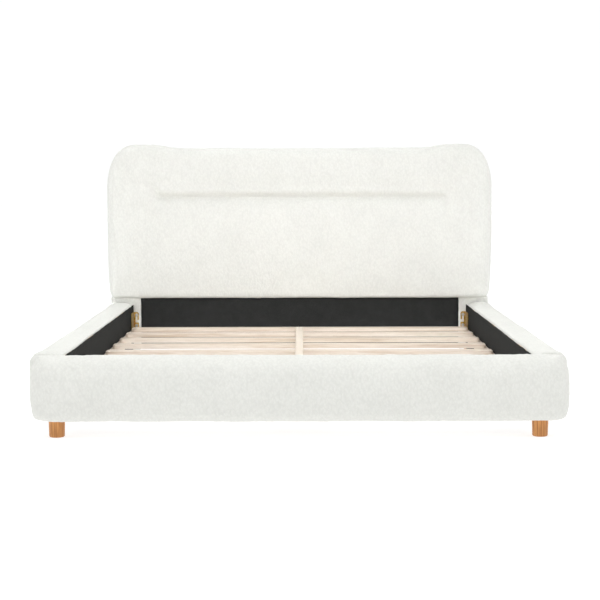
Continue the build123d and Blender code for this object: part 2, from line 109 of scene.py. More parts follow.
def lumps(points, size, seed):
    """Smooth random field from -1 to 1 at each point, with features of that size."""
    table = np.random.default_rng(seed).uniform(-1, 1, 4096)
    place = np.asarray(points, float) / size + 1000.5
    cell = np.floor(place).astype(np.int64)
    t = place - cell
    t = t * t * (3 - 2 * t)
    total = np.zeros(len(place))
    for corner in np.ndindex(2, 2, 2):
        at = cell + corner
        key = (at[:, 0] * 73856093 ^ at[:, 1] * 19349663 ^ at[:, 2] * 83492791) % 4096
        total += table[key] * np.prod(np.where(corner, t, 1 - t), axis=1)
    return total


def coordinates(mesh):
    flat = np.empty(len(mesh.vertices) * 3)
    mesh.vertices.foreach_get("co", flat)
    return flat.reshape(-1, 3)


def normals(mesh):
    flat = np.empty(len(mesh.vertices) * 3)
    mesh.vertex_normals.foreach_get("vector", flat)
    return flat.reshape(-1, 3)


def move_to(mesh, points):
    mesh.vertices.foreach_set("co", np.asarray(points, float).ravel())
    mesh.update()


# ================================================================ meshes
def new_object(name, verts, faces, smooth=True):
    mesh = bpy.data.meshes.new(name)
    mesh.from_pydata([tuple(v) for v in verts], [], faces)
    mesh.update()
    if smooth:
        mesh.shade_smooth()
    obj = bpy.data.objects.new(name, mesh)
    scene.collection.objects.link(obj)
    return obj


def face_outward(obj):
    bm = bmesh.new()
    bm.from_mesh(obj.data)
    bmesh.ops.recalc_face_normals(bm, faces=bm.faces)
    bm.to_mesh(obj.data)
    bm.free()
    return obj


def loft(name, loops):
    """Closed mesh through loops of equal length, with a flat cap on each end."""
    count = len(loops[0])
    verts = [p for loop in loops for p in loop]
    faces = [(a + i, a + (i + 1) % count, a + count + (i + 1) % count, a + count + i)
             for a in range(0, (len(loops) - 1) * count, count) for i in range(count)]
    faces += [tuple(reversed(range(count))), tuple(range(len(verts) - count, len(verts)))]
    return face_outward(new_object(name, verts, faces))


def bake_modifiers(obj):
    """The modifiers' result becomes the mesh."""
    graph = bpy.context.evaluated_depsgraph_get()
    made = bpy.data.meshes.new_from_object(obj.evaluated_get(graph))
    old = obj.data
    obj.modifiers.clear()
    obj.data = made
    bpy.data.meshes.remove(old)
    made.shade_smooth()


def remesh(obj, voxel):
    step = obj.modifiers.new("remesh", "REMESH")
    step.mode = "VOXEL"
    step.voxel_size = voxel
    bake_modifiers(obj)


def subdivide(obj):
    step = obj.modifiers.new("subdivide", "SUBSURF")
    step.levels = step.render_levels = 1
    bake_modifiers(obj)


def carve(obj, cutters):
    """Cuts the closed shapes out of obj, and removes them."""
    for cutter in cutters:
        step = obj.modifiers.new("carve", "BOOLEAN")
        step.operation = "DIFFERENCE"
        step.solver = "MANIFOLD"
        step.object = cutter
        bake_modifiers(obj)
    for cutter in cutters:
        bpy.data.objects.remove(cutter)


def block(name, low, high):
    (x0, y0, z0), (x1, y1, z1) = low, high
    ring = [(x0, y0), (x1, y0), (x1, y1), (x0, y1)]
    return loft(name, [[(x, y, z0) for x, y in ring], [(x, y, z1) for x, y in ring]])


def cut_for(*names, grow=POCKET_ROOM, below=9.0):
    """Cutters with the boxes of CAD nodes, a little larger, up to a height."""
    made = []
    for name in names:
        low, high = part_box(name)
        high.z = min(high.z, below)
        made.append(block("cut", low - Vector((grow,) * 3), high + Vector((grow,) * 3)))
    return made


def arc(cx, cy, radius, start, end, count):
    """Points of an arc, angles in degrees, both ends included."""
    angles = np.radians(np.linspace(start, end, count))
    return [(cx + radius * math.cos(a), cy + radius * math.sin(a)) for a in angles]


def inset(points, amount, weight=None):
    """A closed outline moved inward along its normals, anticlockwise points."""
    p = np.asarray(points)
    tangent = np.roll(p, -1, axis=0) - np.roll(p, 1, axis=0)
    tangent /= np.linalg.norm(tangent, axis=1)[:, None]
    normal = np.stack([-tangent[:, 1], tangent[:, 0]], axis=1)
    share = 1 if weight is None else np.asarray(weight)[:, None]
    return p + normal * amount * share


def rounding(radius, count):
    """(depth from the face, inset) pairs for a quarter-round edge, from the face to the side."""
    angles = np.linspace(0, math.pi / 2, count)
    return [(radius * (1 - math.sin(a)), radius * (1 - math.cos(a))) for a in angles[::-1]]


# ================================================================ cloth
def pin(obj, keep):
    """Vertex group that holds the points where keep is true."""
    group = obj.vertex_groups.new(name="held")
    group.add([int(i) for i in np.flatnonzero(keep)], 1.0, "REPLACE")


def swell(objects, pressure=PRESSURE, cap=SWELL_CAP):
    """Inflates closed covers with the cloth simulation, held at their pins, and caps the motion."""
    rest = {obj.name: coordinates(obj.data) for obj in objects}
    for obj in objects:
        cloth = obj.modifiers.new("cloth", "CLOTH")
        cloth.settings.quality = 6
        cloth.settings.mass = 0.3
        cloth.settings.tension_stiffness = 12
        cloth.settings.compression_stiffness = 12
        cloth.settings.shear_stiffness = 6
        cloth.settings.bending_stiffness = 1.5
        cloth.settings.use_pressure = True
        cloth.settings.uniform_pressure_force = pressure
        cloth.settings.vertex_group_mass = "held"
        cloth.settings.effector_weights.gravity = 0
        cloth.point_cache.frame_start = 1
        cloth.point_cache.frame_end = CLOTH_FRAMES
    for step in range(1, CLOTH_FRAMES + 1):
        scene.frame_set(step)
    for obj in objects:
        bake_modifiers(obj)
        obj.vertex_groups.clear()
        moved = coordinates(obj.data) - rest[obj.name]
        length = np.linalg.norm(moved, axis=1)[:, None]
        limited = cap * np.tanh(length / cap)
        share = np.where(length > 0, limited / np.maximum(length, 1e-9), 0)
        move_to(obj.data, rest[obj.name] + moved * share)
        print("swell", obj.name, "largest move", round(float(length.max()), 4))
    scene.frame_set(1)


def nap(obj, seed):
    """Small uneven lumps of the fleece, and slow dents of the foam under it."""
    points, outward = coordinates(obj.data), normals(obj.data)
    height = (0.0007 * lumps(points, 0.011, seed) + 0.0007 * lumps(points, 0.026, seed + 1)
              + 0.0016 * lumps(points, 0.14, seed + 2))
    inner_edge = np.exp(-((abs(points[:, 0]) - WELL_X - 0.006) / 0.014) ** 2) * (points[:, 1] < POST_FACE)
    height += inner_edge * smoothstep(CROWN - 0.02, CROWN - 0.008, points[:, 2]) \
        * (0.0030 * lumps(points, 0.045, seed + 3) + 0.0035 * lumps(points, 0.17, seed + 4))
    move_to(obj.data, points + outward * height[:, None])


# ================================================================ headboard pad
def head_half_width(z):
    return HEAD_HALF - TAPER * np.clip((TAPER_FROM - z) / (TAPER_FROM - pad_d), 0, 1) ** 2


def head_top(x):
    return HEAD_TOP - HEAD_DROP * (1 - smoothstep(LEVEL_X, PEAK_X, abs(x)))


def head_outline():
    """Outline on X and Z, anticlockwise seen from the foot: round shoulders, level middle."""
    foot = float(head_half_width(pad_d))
    side_zs = np.linspace(pad_d + LOW_CORNER, HEAD_TOP - SHOULDER_TALL, 42)
    top_xs = np.linspace(HEAD_HALF - SHOULDER_WIDE, 0, 62)
    right = [(x, pad_d) for x in np.linspace(0, foot - LOW_CORNER, 60)[1:-1]]
    right += arc(foot - LOW_CORNER, pad_d + LOW_CORNER, LOW_CORNER, -90, 0, 7)[:-1]
    right += [(float(head_half_width(z)), z) for z in side_zs[:-1]]
    right += [(HEAD_HALF - SHOULDER_WIDE * (1 - math.cos(a) ** (2 / SHOULDER_POWER)),
               HEAD_TOP - SHOULDER_TALL * (1 - math.sin(a) ** (2 / SHOULDER_POWER)))
              for a in np.linspace(0, math.pi / 2, 34)[:-1]]
    right += [(x, float(head_top(x))) for x in top_xs]
    return right + [(-x, z) for x, z in reversed(right[:-1])] + [(0, pad_d)]


def valley(x, z, path, depth, width):
    """A soft fold along a path on the front: as deep as the depths given at the path's points."""
    best = np.zeros(len(x))
    for (x0, z0), (x1, z1), d0, d1 in zip(path, path[1:], depth, depth[1:]):
        run = np.array([x1 - x0, z1 - z0])
        t = np.clip(((x - x0) * run[0] + (z - z0) * run[1]) / (run @ run), 0, 1)
        away = np.hypot(x - x0 - t * run[0], z - z0 - t * run[1])
        best = np.maximum(best, (d0 + (d1 - d0) * t) * np.exp(-(away / width) ** 2))
    return best


def crease_profile(x, z):
    """Depth of the horizontal tuck: sharp at its line, its ends fading into soft upward folds."""
    d = z - CREASE_Z
    along = smoothstep(CREASE_LEFT - 0.008, CREASE_LEFT + 0.040, x) \
        * (1 - smoothstep(CREASE_RIGHT - 0.040, CREASE_RIGHT + 0.008, x))
    tuck = CREASE_DEPTH * along * np.exp(-abs(d) / np.where(d > 0, CREASE_ABOVE, CREASE_BELOW))
    tuck -= LIP_RISE * along * np.exp(-((d - LIP_AT) / LIP_WIDTH) ** 2)
    gathers = 0.0010 * along * np.exp(-abs(d) / 0.030) * lumps(np.stack([x, x * 0, z * 0.3], 1), 0.035, 5)
    left_fold = valley(x, z, [(-0.650, 0.774), (-0.682, 0.812), (-0.728, 0.822), (-0.800, 0.818)],
                       [0.0100, 0.0075, 0.0045, 0.0], 0.016)
    right_fold = valley(x, z, [(0.690, 0.785), (0.735, 0.850), (0.800, 0.918)], [0.0060, 0.0055, 0.0], 0.019)
    hollow = 0.0075 * np.exp(-((x - 0.640) / 0.055) ** 2 - ((z - 0.806) / 0.026) ** 2)
    return tuck + gathers + np.maximum(left_fold, right_fold) + hollow


def headboard_pad():
    outline = head_outline()
    front = pad_f + FRONT_BACK_OFF
    rings = [(front + depth, amount) for depth, amount in rounding(FRONT_ROUND, 9)]
    rings += [(y, 0) for y in np.linspace(front + FRONT_ROUND, pad_b - BACK_ROUND, 5)[1:-1]]
    rings += [(pad_b - depth, amount) for depth, amount in reversed(rounding(BACK_ROUND, 5))]
    height = np.array([z for x, z in outline])
    weight = 0.14 + 0.86 * smoothstep(pad_d + 0.005, pad_d + 0.18, height)
    loops = [[(x, y, z) for x, z in inset(outline, amount, weight)] for y, amount in rings]
    obj = loft("headboard_cover", loops)
    remesh(obj, PAD_VOXEL)
    return obj


def sculpt_headboard(obj):
    """Crown, tuck and folds of the front, after the cloth has been baked."""
    points, outward = coordinates(obj.data), normals(obj.data)
    x, y, z = points.T
    facing = smoothstep(0.15, 0.75, -outward[:, 1])
    crown_low = 0.009 * (1 - np.clip(abs(x) / 0.88, 0, 1) ** 4) * np.exp(-((z - 0.54) / 0.20) ** 4)
    crown_top = 0.008 * np.exp(-((z - 0.875) / 0.075) ** 2) * (1 - smoothstep(0.62, 0.78, abs(x)))
    wings = 0.007 * np.exp(-((abs(x) - 0.775) / 0.07) ** 2) * smoothstep(0.32, 0.60, z)
    points[:, 1] -= facing * (crown_low + crown_top + wings)
    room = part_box("headboard_face_panel")[0].y - TUCK_CLEARANCE - points[:, 1]
    depth = np.minimum(crease_profile(x, z), np.maximum(room, 0))
    points[:, 1] += smoothstep(0.0, 0.4, -outward[:, 1]) * depth
    move_to(obj.data, points)


def flatten_back(obj):
    """The back is pulled flat, so the dust cloth lies on it."""
    points = coordinates(obj.data)
    low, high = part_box("headboard_back_cover")
    x, y, z = points.T
    under = (abs(x) < high.x + 0.01) & (z > low.z - 0.01) & (z < high.z + 0.01)
    points[:, 1] = np.where(under, np.minimum(y, pad_b - 0.0022), y)
    move_to(obj.data, points)


# ================================================================ rails and footboard pads
def rail_profile(thickness):
    """Section of a padded rail: (distance from the lining, height), anticlockwise."""
    top, low = CROWN, UNDERSIDE
    profile = [(LINING_GAP, z) for z in np.linspace(top - 0.014, low + 0.006, 24)]
    profile += [(u, low) for u in np.linspace(0.004, thickness - 0.034, 9)]
    profile += [(thickness - 0.032 + a, low + 0.040 + b) for a, b in ellipse(0.026, 0.040, -80, -20, 6)]
    profile += [(thickness - 0.0015 + 0.0035 * math.cos(t), z)
                for z, t in zip(np.linspace(0.105, 0.205, 12), np.linspace(-1.2, 1.0, 12))]
    profile += [(thickness - 0.036 + a, top - 0.038 + b) for a, b in ellipse(0.0375, 0.041, 12, 84, 9)]
    profile += [(0.040, top + 0.001), (0.026, top - 0.001), (0.012, top - 0.004), (0.004, top - 0.009)]
    return profile


def ellipse(a, b, start, end, count):
    angles = np.radians(np.linspace(start, end, count))
    return [(a * math.cos(t), b * math.sin(t)) for t in angles]


def side_rail_pad(side):
    sign = 1 if side == "right" else -1
    low, high = rail_box[side]
    profile = rail_profile(high.x - low.x)
    ends = 0.010
    stations = [(FOOT_FACE + 0.001, 0.006), (FOOT_FACE + 0.003, 0.003), (FOOT_FACE + ends, 0)]
    stations += [(y, 0) for y in np.linspace(FOOT_FACE + ends, POST_FACE - ends, 40)[1:-1]]
    stations += [(POST_FACE - ends, 0), (POST_FACE - 0.003, 0.003), (POST_FACE - 0.001, 0.006)]
    base = WELL_X + LINING_GAP
    loops = []
    for y, amount in stations:
        shrunk = inset(profile, amount)
        loops.append([(sign * (base + u), y, z) for u, z in shrunk])
    obj = loft(f"side_rail_cover_{side}", loops)
    remesh(obj, RAIL_VOXEL)
    return obj


def footboard_pad():
    corner = FOOT_CORNER
    half, front, back = foot_high.x, FOOT_FRONT, FOOT_FACE
    outline = [(x, front) for x in np.linspace(-half + corner, half - corner, 70)[1:-1]]
    outline += arc(half - corner, front + corner, corner, -90, 0, 16)
    outline += [(x, back) for x in np.linspace(half, -half, 80)[1:-1]]
    outline += arc(-half + corner, front + corner, corner, 180, 270, 16)
    p = np.asarray(outline)
    weight = np.where(p[:, 1] > back - 0.003, 0.02, 1.0)
    below = [(0, 0.022), (0.002, 0.017), (0.007, 0.0120), (0.016, 0.0080), (0.030, 0.0048), (0.048, 0.0022),
             (0.070, 0.0004)]
    above = [(0.150, 0.0), (0.180, 0.0003), (0.205, 0.0016), (0.222, 0.0040), (0.238, 0.0090),
             (0.250, 0.0150), (0.260, 0.0225), (0.268, 0.0330), (0.2725, 0.0430), (0.2750, 0.0500)]
    rings = [(UNDERSIDE + rise, amount) for rise, amount in below] + above
    ahead = smoothstep(front + 0.08, front + 0.01, p[:, 1])
    loops = [[(x, y, z) for x, y in inset(outline, amount, weight * (1 + (0.45 if z > 0.2 else 0.0) * ahead))]
             for z, amount in rings]
    obj = loft("footboard_cover", loops)
    remesh(obj, RAIL_VOXEL)
    return obj


def sculpt_footboard(obj):
    """The crown falls gently to the lined inner face."""
    points = coordinates(obj.data)
    points[:, 0] += 0.005 * smoothstep(0.5, 0.87, points[:, 0]) + 0.003 * smoothstep(0.5, 0.87, -points[:, 0])
    top = smoothstep(CROWN - 0.03, CROWN - 0.004, points[:, 2])
    fall = 0.006 * smoothstep(FOOT_FACE - 0.045, FOOT_FACE, points[:, 1])
    points[:, 2] -= top * fall
    move_to(obj.data, points)


def post_cover(side):
    low, high = cover_box[side]
    sign = 1 if side == "right" else -1
    ring = [(low.x, low.y), (high.x, low.y), (high.x, high.y), (low.x, high.y)]
    outline = []
    for index, (x, y) in enumerate(ring):
        radius = 0.012 if (x > 0) == (sign > 0) and abs(x) > 0.8 else 0.004
        cx = x + radius * (1 if x == low.x else -1)
        cy = y + radius * (1 if y == low.y else -1)
        outline += arc(cx, cy, radius, 180 + 90 * index, 270 + 90 * index, 5)
    levels = [(low.z, 0.003), (low.z + 0.003, 0)] + [(z, 0) for z in np.linspace(low.z, high.z, 14)[1:]]
    levels += [(high.z + 0.003, 0), (high.z + 0.007, 0.003)]
    loops = [[(x, y, z) for x, y in inset(outline, amount)] for z, amount in levels]
    obj = loft(f"post_fleece_{side}", loops)
    remesh(obj, POST_VOXEL)
    return obj


# ================================================================ materials
def material(name, roughness=0.6, **sockets):
    made = bpy.data.materials.new(name)
    made.use_nodes = True
    shader = made.node_tree.nodes["Principled BSDF"]
    shader.inputs["Roughness"].default_value = roughness
    for key, value in sockets.items():
        shader.inputs[key.replace("_", " ")].default_value = value
    return made, made.node_tree, shader


def add_node(tree, kind, _props=None, **inputs):
    made = tree.nodes.new(kind)
    for key, value in (_props or {}).items():
        setattr(made, key, value)
    for key, value in inputs.items():
        socket = made.inputs[key.replace("_", " ")]
        if isinstance(value, bpy.types.NodeSocket):
            tree.links.new(value, socket)
        else:
            socket.default_value = value
    return made


def places(tree, scale=(1, 1, 1)):
    """Object coordinates, in metres, scaled."""
    source = tree.nodes.new("ShaderNodeTexCoord")
    mapping = add_node(tree, "ShaderNodeMapping", Vector=source.outputs["Object"])
    mapping.inputs["Scale"].default_value = scale
    return mapping.outputs["Vector"]


def noise(tree, vector, scale, detail=3.0, rough=0.55, distortion=0.0):
    return add_node(tree, "ShaderNodeTexNoise", Vector=vector, Scale=scale, Detail=detail,
                    Roughness=rough, Distortion=distortion).outputs["Fac"]


def ramp(tree, value, stops):
    made = add_node(tree, "ShaderNodeValToRGB", Fac=value)
    while len(made.color_ramp.elements) < len(stops):
        made.color_ramp.elements.new(0.5)
    for element, (at, colour) in zip(made.color_ramp.elements, stops):
        element.position = at
        element.color = (*colour, 1) if len(colour) == 3 else colour
    return made.outputs["Color"]


def math_node(tree, operation, a, b):
    made = tree.nodes.new("ShaderNodeMath")
    made.operation = operation
    for socket, value in zip(made.inputs, (a, b)):
        if isinstance(value, bpy.types.NodeSocket):
            tree.links.new(value, socket)
        else:
            socket.default_value = value
    return made.outputs["Value"]


def mix_colour(tree, factor, a, b, blend="MIX"):
    made = tree.nodes.new("ShaderNodeMix")
    made.data_type, made.blend_type = "RGBA", blend
    for socket, value in ((made.inputs["Factor"], factor), (made.inputs[6], a), (made.inputs[7], b)):
        if isinstance(value, bpy.types.NodeSocket):
            tree.links.new(value, socket)
        else:
            socket.default_value = value if isinstance(value, float) else (*value, 1)
    return made.outputs[2]


def bump(tree, shader, height, distance, strength=1.0):
    made = add_node(tree, "ShaderNodeBump", Height=height, Distance=distance, Strength=strength)
    tree.links.new(made.outputs["Normal"], shader.inputs["Normal"])


def fleece():
    """Off-white curly fleece: worm-like curls under a centimetre across, in a brushed nap, with shade painted
    into the hollows between the curls.
    """
    made, tree, shader = material("fleece", 0.95, Sheen_Weight=0.06, Sheen_Roughness=0.6,
                                  Specular_IOR_Level=0.10)
    where = places(tree, (1, 1, 0.66))
    drift = add_node(tree, "ShaderNodeTexNoise", Vector=where, Scale=95.0, Detail=2.0).outputs["Color"]
    bent = add_node(tree, "ShaderNodeVectorMath", {"operation": "MULTIPLY_ADD"})
    tree.links.new(drift, bent.inputs[0])
    bent.inputs[1].default_value = (0.014, 0.014, 0.014)
    tree.links.new(where, bent.inputs[2])
    curls = add_node(tree, "ShaderNodeTexVoronoi", {"feature": "SMOOTH_F1"}, Vector=bent.outputs[0],
                     Scale=125.0, Smoothness=0.35).outputs["Distance"]
    strands = noise(tree, bent.outputs[0], 420.0, 2.5, 0.6, 0.6)
    rise = math_node(tree, "SUBTRACT", 1.0, curls)
    height = math_node(tree, "ADD", math_node(tree, "MULTIPLY", rise, 0.8),
                       math_node(tree, "MULTIPLY", strands, 0.35))
    bump(tree, shader, height, 0.0040, 0.34)
    # painted shade: the colour is darker in the hollows between the curls and lighter on their tops, standing
    # in for the shade that falls there
    shade = ramp(tree, height, [(0.35, (0.760, 0.765, 0.727)), (0.72, (0.804, 0.809, 0.770)),
                                (0.95, (0.822, 0.828, 0.791))])
    slow = noise(tree, places(tree), 8.0, 3.0, 0.6, 0.3)
    tone = ramp(tree, slow, [(0.34, (0.972, 0.972, 0.971)), (0.64, (1.0, 1.0, 1.0))])
    tree.links.new(mix_colour(tree, 1.0, shade, tone, "MULTIPLY"), shader.inputs["Base Color"])
    return made


def nonwoven():
    """Black spun cloth with a fine embossed grid of bond points."""
    made, tree, shader = material("black_nonwoven", 0.95, Specular_IOR_Level=0.12)
    where = places(tree)
    points = add_node(tree, "ShaderNodeTexVoronoi", {"feature": "F1"}, Vector=where, Scale=520.0,
                      Randomness=0.25).outputs["Distance"]
    fibres = noise(tree, where, 900.0, 3.0, 0.7, 1.5)
    patches = noise(tree, where, 30.0, 4.0, 0.6)
    bump(tree, shader, math_node(tree, "ADD", points, math_node(tree, "MULTIPLY", fibres, 0.6)), 0.0006, 0.6)
    shade = ramp(tree, fibres, [(0.35, (0.020, 0.021, 0.021)), (0.70, (0.046, 0.047, 0.046))])
    tone = ramp(tree, patches, [(0.30, (0.82, 0.82, 0.82)), (0.70, (1.0, 1.0, 1.0))])
    tree.links.new(mix_colour(tree, 1.0, shade, tone, "MULTIPLY"), shader.inputs["Base Color"])
    return made


def wood(name, axis, light, middle, dark, roughness, fine=70.0, coat=0.0):
    """Timber with grain along an axis: growth bands, fine pores and slow changes of tone."""
    made, tree, shader = material(name, roughness, Specular_IOR_Level=0.35, Coat_Weight=coat,
                                  Coat_Roughness=0.35)
    along = 0.035
    stretch = [along if i == axis else 1.0 for i in range(3)]
    where = places(tree, stretch)
    bands = noise(tree, where, fine, 4.0, 0.55, 0.9)
    pores = noise(tree, where, fine * 9, 3.0, 0.6, 0.2)
    tone = noise(tree, places(tree, [0.5 if i == axis else 1.0 for i in range(3)]), 7.0, 2.0)
    shade = ramp(tree, bands, [(0.32, dark), (0.50, middle), (0.68, light)])
    speck = ramp(tree, pores, [(0.30, (0.86, 0.84, 0.81)), (0.55, (1.0, 1.0, 1.0))])
    slow = ramp(tree, tone, [(0.30, (0.92, 0.905, 0.885)), (0.70, (1.0, 1.0, 1.0))])
    mixed = mix_colour(tree, 1.0, mix_colour(tree, 1.0, shade, speck, "MULTIPLY"), slow, "MULTIPLY")
    tree.links.new(mixed, shader.inputs["Base Color"])
    bump(tree, shader, math_node(tree, "ADD", bands, math_node(tree, "MULTIPLY", pores, 0.5)), 0.0004, 0.5)
    return made


def yellow_zinc():
    """Yellow passivated steel, with the drifting gold, olive and rose of the coating."""
    made, tree, shader = material("yellow_zinc", 0.34, Metallic=1.0)
    where = places(tree)
    hue = noise(tree, where, 55.0, 3.0, 0.6, 1.2)
    shade = ramp(tree, hue, [(0.28, (0.12, 0.10, 0.03)), (0.42, (0.42, 0.28, 0.07)),
                             (0.55, (0.62, 0.43, 0.14)), (0.68, (0.42, 0.17, 0.08)),
                             (0.82, (0.20, 0.19, 0.09))])
    tree.links.new(shade, shader.inputs["Base Color"])
    grain = noise(tree, where, 1400.0, 2.0)
    bump(tree, shader, grain, 0.0002, 0.3)
    return made


def steel():
    """Zinc-plated steel, clouded, with a fine grain."""
    made, tree, shader = material("plated_steel", 0.32, Metallic=1.0)
    where = places(tree)
    shade = ramp(tree, noise(tree, where, 180.0, 3.0), [(0.3, (0.42, 0.42, 0.43)), (0.7, (0.66, 0.66, 0.65))])
    tree.links.new(shade, shader.inputs["Base Color"])
    bump(tree, shader, noise(tree, where, 1600.0, 2.0), 0.0001, 0.3)
    return made


def black_plastic():
    made, tree, shader = material("black_plastic", 0.5)
    where = places(tree)
    shade = ramp(tree, noise(tree, where, 240.0, 3.0),
                 [(0.3, (0.018, 0.018, 0.018)), (0.7, (0.035, 0.035, 0.035))])
    tree.links.new(shade, shader.inputs["Base Color"])
    bump(tree, shader, noise(tree, where, 1800.0, 2.0), 0.0002, 0.4)
    return made


def webbing():
    """Cream woven ribbon."""
    made, tree, shader = material("cotton_webbing", 0.9, Sheen_Weight=0.2, Specular_IOR_Level=0.2)
    where = places(tree)
    weave = add_node(tree, "ShaderNodeTexWave", {"bands_direction": "X", "wave_profile": "SIN"}, Vector=where,
                     Scale=260.0, Distortion=1.0, Detail=1.0).outputs["Fac"]
    picks = add_node(tree, "ShaderNodeTexWave", {"bands_direction": "Y", "wave_profile": "SIN"}, Vector=where,
                     Scale=200.0, Distortion=1.0, Detail=1.0).outputs["Fac"]
    height = math_node(tree, "MULTIPLY", weave, picks)
    shade = ramp(tree, height, [(0.0, (0.90, 0.79, 0.66)), (0.6, (0.97, 0.88, 0.765))])
    tree.links.new(shade, shader.inputs["Base Color"])
    bump(tree, shader, height, 0.0006, 0.6)
    return made


FLEECE = fleece()
NONWOVEN = nonwoven()
SLAT = wood("slat_pine", 0, (0.90, 0.820, 0.735), (0.85, 0.750, 0.650), (0.68, 0.545, 0.425), 0.62)
TIMBER_TONES = ((0.80, 0.68, 0.50), (0.70, 0.56, 0.38), (0.56, 0.42, 0.26))
TIMBER_X, TIMBER_Y, TIMBER_Z = (wood(f"frame_timber_{letter}", axis, *TIMBER_TONES, 0.68)
                                for axis, letter in enumerate("xyz"))
OAK = wood("foot_oak", 2, (0.78, 0.38, 0.130), (0.62, 0.275, 0.085), (0.34, 0.125, 0.033), 0.42, 130.0, 0.12)
ZINC = yellow_zinc()
STEEL = steel()
PLASTIC = black_plastic()
WEBBING = webbing()

# the start of a node's name gives its finish, fasteners are steel, and what is left is timber along X;
# "slat_" takes in the ledgers too, so they have the slats' finish, with its grain along X
wearing = {
    "slat_": SLAT, "foot_front": OAK, "foot_head": OAK, "centre_leg": OAK, "hook_bracket": ZINC,
    "corner_angle": ZINC, "leg_glide": PLASTIC, "centre_beam": TIMBER_Y, "side_rail_board": TIMBER_Y,
    "headboard_post": TIMBER_Z, "beam_socket": STEEL,
}


def dress(obj, finish):
    obj.data.materials.clear()
    obj.data.materials.append(finish)
    return obj


for name, obj in nodes.items():
    finish = next((m for start, m in wearing.items() if name.startswith(start)), None)
    if name.endswith(("_screws", "_bolts", "_inserts")):
        finish = STEEL
    finish = finish or TIMBER_X
    for index in range(max(1, len(obj.material_slots))):
        if not obj.material_slots:
            obj.data.materials.append(finish)
        obj.material_slots[index].material = finish

# ================================================================ soft pieces
fleece_pieces = {}
fleece_pieces["headboard_pad"] = headboard_pad()
for side in ("left", "right"):
    fleece_pieces[f"side_rail_pad_{side}"] = side_rail_pad(side)
fleece_pieces["footboard_pad"] = footboard_pad()

for node_name, obj in fleece_pieces.items():
    points = coordinates(obj.data)
    x, y, z = points.T
    if node_name == "headboard_pad":
        held = (y > pad_b - 0.020) | (z < pad_d + EDGE_HELD)
    elif node_name == "footboard_pad":
        held = (z < UNDERSIDE + EDGE_HELD) | (y > FOOT_FACE - EDGE_HELD)
    else:
        held = (z < UNDERSIDE + EDGE_HELD) | (abs(x) < WELL_X + EDGE_HELD)
        held |= (y < FOOT_FACE + EDGE_HELD) | (y > POST_FACE - EDGE_HELD)
    pin(obj, held)
swell(list(fleece_pieces.values()))

for side in ("left", "right"):
    fleece_pieces[f"post_cover_{side}"] = post_cover(side)
for number, (node_name, obj) in enumerate(fleece_pieces.items()):
    if not node_name.startswith("post_cover"):
        subdivide(obj)
    if node_name == "headboard_pad":
        sculpt_headboard(obj)
    if node_name == "footboard_pad":
        sculpt_footboard(obj)
    nap(obj, 20 * number + 7)
    if node_name == "headboard_pad":
        flatten_back(obj)

# pockets for the timber, as the covers are hollow there
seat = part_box("headboard_face_panel")
flange_x, flange_low, flange_top = seat[1].x - FLANGE, seat[0].z + FLANGE, seat[1].z - FLANGE
frame_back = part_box("headboard_top_rail")[1].y


def round_top_prism(low_z, top_z, half, radius, y0, y1):
    outline = [(-half, low_z), (half, low_z)] + arc(half - radius, top_z - radius, radius, 0, 90, 12)
    outline += arc(-half + radius, top_z - radius, radius, 90, 180, 12)
    return loft("cut", [[(x, y, z) for x, z in outline] for y in (y0, y1)])


carve(fleece_pieces["headboard_pad"], [
    round_top_prism(seat[0].z - POCKET_ROOM, seat[1].z + POCKET_ROOM, seat[1].x + POCKET_ROOM, PANEL_CORNER,
                    seat[0].y - POCKET_ROOM, frame_back + POCKET_ROOM),
    round_top_prism(flange_low, flange_top, flange_x, FLANGE_CORNER, frame_back, pad_b + 0.02),
    *cut_for("headboard_post_left", "headboard_post_right", below=pad_d + 0.05)])
for side, sign in (("left", -1), ("right", 1)):
    low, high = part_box(f"side_rail_board_{side}")
    board = sorted((sign * POCKET_IN, high.x if sign > 0 else low.x))
    lining = sorted((sign * POCKET_IN, sign * (WELL_X + LINING_GAP)))
    near, far = low.y - 0.01, high.y + 0.01
    carve(fleece_pieces[f"side_rail_pad_{side}"], [
        block("cut", (board[0], near, low.z - POCKET_ROOM), (board[1], far, high.z + POCKET_ROOM)),
        block("cut", (lining[0], near, 0), (lining[1], far, high.z + LINING_RISE))])
    carve(fleece_pieces[f"post_cover_{side}"], cut_for(f"headboard_post_{side}", "headboard_lower_board"))
low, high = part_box("footboard_panel")
carve(fleece_pieces["footboard_pad"], [
    block("cut", (low.x - POCKET_ROOM, low.y - POCKET_ROOM, -0.01),
          (high.x + POCKET_ROOM, FOOT_FACE + 0.05, high.z + POCKET_ROOM)),
    block("cut", (-WELL_X - 0.01, FOOT_FACE - LINING_GAP, -0.01),
          (WELL_X + 0.01, FOOT_FACE + 0.05, high.z + LINING_RISE)),
    *cut_for("footboard_base_strip")])

for node_name, obj in fleece_pieces.items():
    dress(obj, FLEECE)
    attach(obj, "bed")
    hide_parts(node_name)


